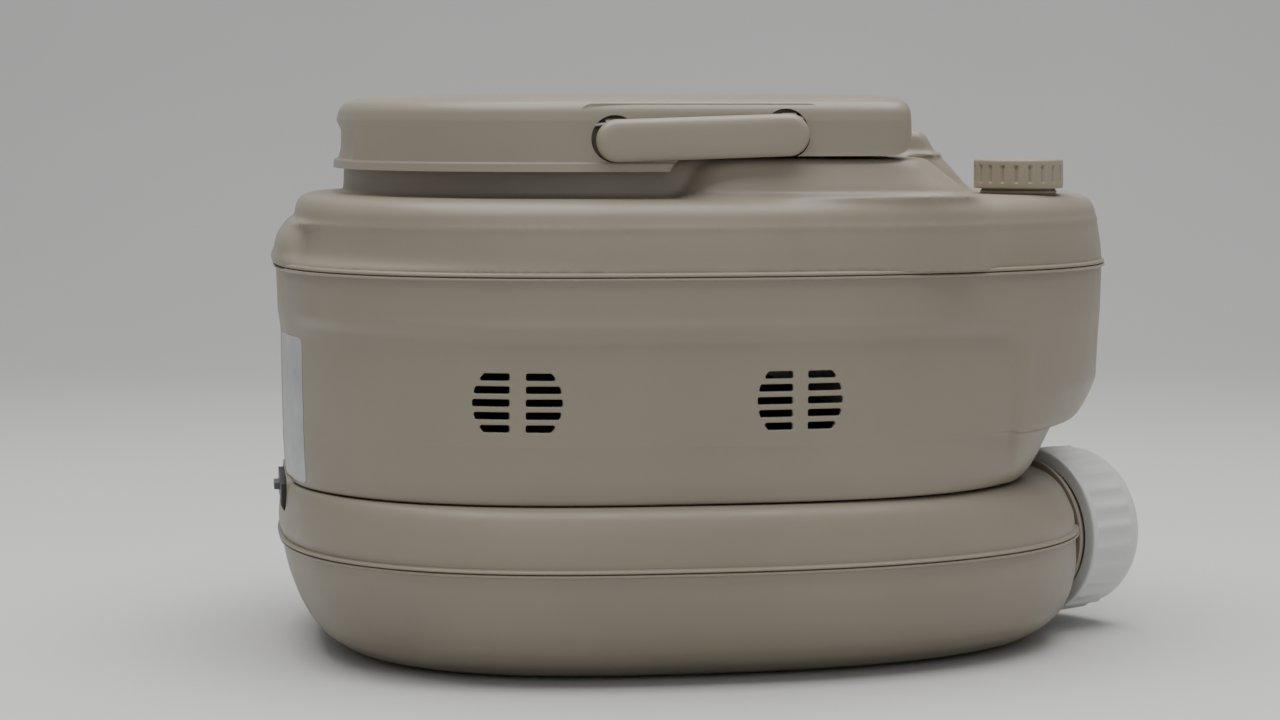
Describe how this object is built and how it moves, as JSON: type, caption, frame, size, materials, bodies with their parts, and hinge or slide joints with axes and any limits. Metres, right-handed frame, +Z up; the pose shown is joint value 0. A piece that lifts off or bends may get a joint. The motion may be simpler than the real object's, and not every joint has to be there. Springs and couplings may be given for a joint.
{
  "type": "portable toilet",
  "caption": "Two-section portable toilet: waste tank with slide valve and angled pour spout, lift-off seat section with bowl, flush tank, hinged seat and lid.",
  "frame": {"origin": "on the floor plane, under the middle of the overall box", "axes": "+X towards the rear, where the pour spout is; +Y towards the flush plunger's side; +Z up"},
  "size_m": [0.4544, 0.3414, 0.2812],
  "materials": {
    "body_taupe": "satin moulded polyethylene",
    "cap_beige": "satin moulded plastic",
    "cap_white": "satin white plastic",
    "seat_taupe": "smooth semi-gloss plastic",
    "black_plastic": "fine moulded texture",
    "grey_plastic": "smooth sliding plate",
    "red_plastic": "smooth",
    "natural_plastic": "translucent natural polyethylene, drawn opaque",
    "rubber_black": "matt",
    "steel": "plain wire and turned steel",
    "sticker_silver": "silver film sticker, unprinted"
  },
  "bodies": {
    "waste_tank": {"waste_tank_base": "body_taupe", "waste_tank_top": "body_taupe", "spout_neck": "body_taupe", "valve_top_plate": "black_plastic", "valve_bottom_plate": "black_plastic", "valve_lip_seal": "rubber_black", "valve_screws": "steel", "vent_seat": "black_plastic", "vent_spring": "steel"},
    "valve_slide": {"valve_blade": "grey_plastic", "valve_handle": "black_plastic"},
    "vent_valve": {"vent_button": "red_plastic"},
    "spout_seal": {"spout_gasket": "rubber_black"},
    "pour_cap": {"spout_cap": "cap_white"},
    "seat_section": {"side_skirt": "body_taupe", "deck_shell": "body_taupe", "bowl": "seat_taupe", "fresh_tank": "natural_plastic", "fill_neck": "body_taupe", "pump_barrel": "black_plastic", "pump_spring": "steel", "pickup_tube": "natural_plastic", "flush_hose": "natural_plastic", "rinse_nozzle": "black_plastic", "hinge_brackets": "body_taupe", "hinge_screws": "steel", "hinge_pins": "steel", "latch_pin": "steel", "casing_screws": "steel", "bowl_screws": "steel", "data_sticker": "sticker_silver"},
    "latch": {"turn_latch": "black_plastic"},
    "seat": {"seat_ring": "seat_taupe", "seat_bumpers": "rubber_black"},
    "lid": {"lid_shell": "body_taupe", "lid_bumpers": "rubber_black", "handle_pins": "steel"},
    "near_carry_handle": {"near_handle": "body_taupe"},
    "far_carry_handle": {"far_handle": "body_taupe"},
    "fill_seal": {"fill_cap_gasket": "rubber_black"},
    "fill_screw_cap": {"fill_cap": "cap_beige"},
    "flush_plunger": {"pump_plunger": "body_taupe"}
  },
  "joints": [
    {"name": "seat_section_lift", "type": "slide", "parent": "waste_tank", "child": "seat_section", "axis": [0, 0, 1], "range_m": [0, 0.12]},
    {"name": "valve_pull", "type": "slide", "parent": "waste_tank", "child": "valve_slide", "axis": [-1, 0, 0], "range_m": [0, 0.0865]},
    {"name": "vent_press", "type": "slide", "parent": "waste_tank", "child": "vent_valve", "axis": [0, 0, 1], "range_m": [-0.0035, 0], "stiffness_N_per_m": 250, "deforming": ["vent_spring"]},
    {"name": "pour_cap_pull", "type": "slide", "parent": "waste_tank", "child": "spout_seal", "axis": [0.848, 0.5299, 0], "range_m": [0, 0.06]},
    {"name": "pour_cap_turn", "type": "hinge", "parent": "spout_seal", "child": "pour_cap", "pos_m": [0.16715, -0.012, 0.05], "axis": [0.848, 0.5299, 0], "continuous": true},
    {"name": "latch_turn", "type": "hinge", "parent": "seat_section", "child": "latch", "pos_m": [0.14215, 0, 0.0975], "axis": [1, 0, 0], "range_deg": [-90, 0]},
    {"name": "seat_hinge", "type": "hinge", "parent": "seat_section", "child": "seat", "pos_m": [0.06435, 0, 0.2645], "axis": [0, -1, 0], "range_deg": [-93, 0]},
    {"name": "lid_hinge", "type": "hinge", "parent": "seat", "child": "lid", "pos_m": [0.06435, 0, 0.2645], "axis": [0, 1, 0], "range_deg": [0, 93]},
    {"name": "near_handle_swing", "type": "hinge", "parent": "lid", "child": "near_carry_handle", "pos_m": [-0.02791, -0.146, 0.2677], "axis": [0.9995, 0, 0.0332], "range_deg": [-50, 0]},
    {"name": "far_handle_swing", "type": "hinge", "parent": "lid", "child": "far_carry_handle", "pos_m": [-0.02791, 0.146, 0.2677], "axis": [0.9995, 0, 0.0332], "range_deg": [0, 50]},
    {"name": "fill_cap_lift", "type": "slide", "parent": "seat_section", "child": "fill_seal", "axis": [0, 0, 1], "range_m": [0, 0.04]},
    {"name": "fill_cap_turn", "type": "hinge", "parent": "fill_seal", "child": "fill_screw_cap", "pos_m": [0.14535, -0.08, 0.24], "axis": [0, 0, 1], "continuous": true},
    {"name": "flush_press", "type": "slide", "parent": "seat_section", "child": "flush_plunger", "axis": [0, 0, 1], "range_m": [-0.022, 0], "stiffness_N_per_m": 400, "deforming": ["pump_spring"]}
  ]
}
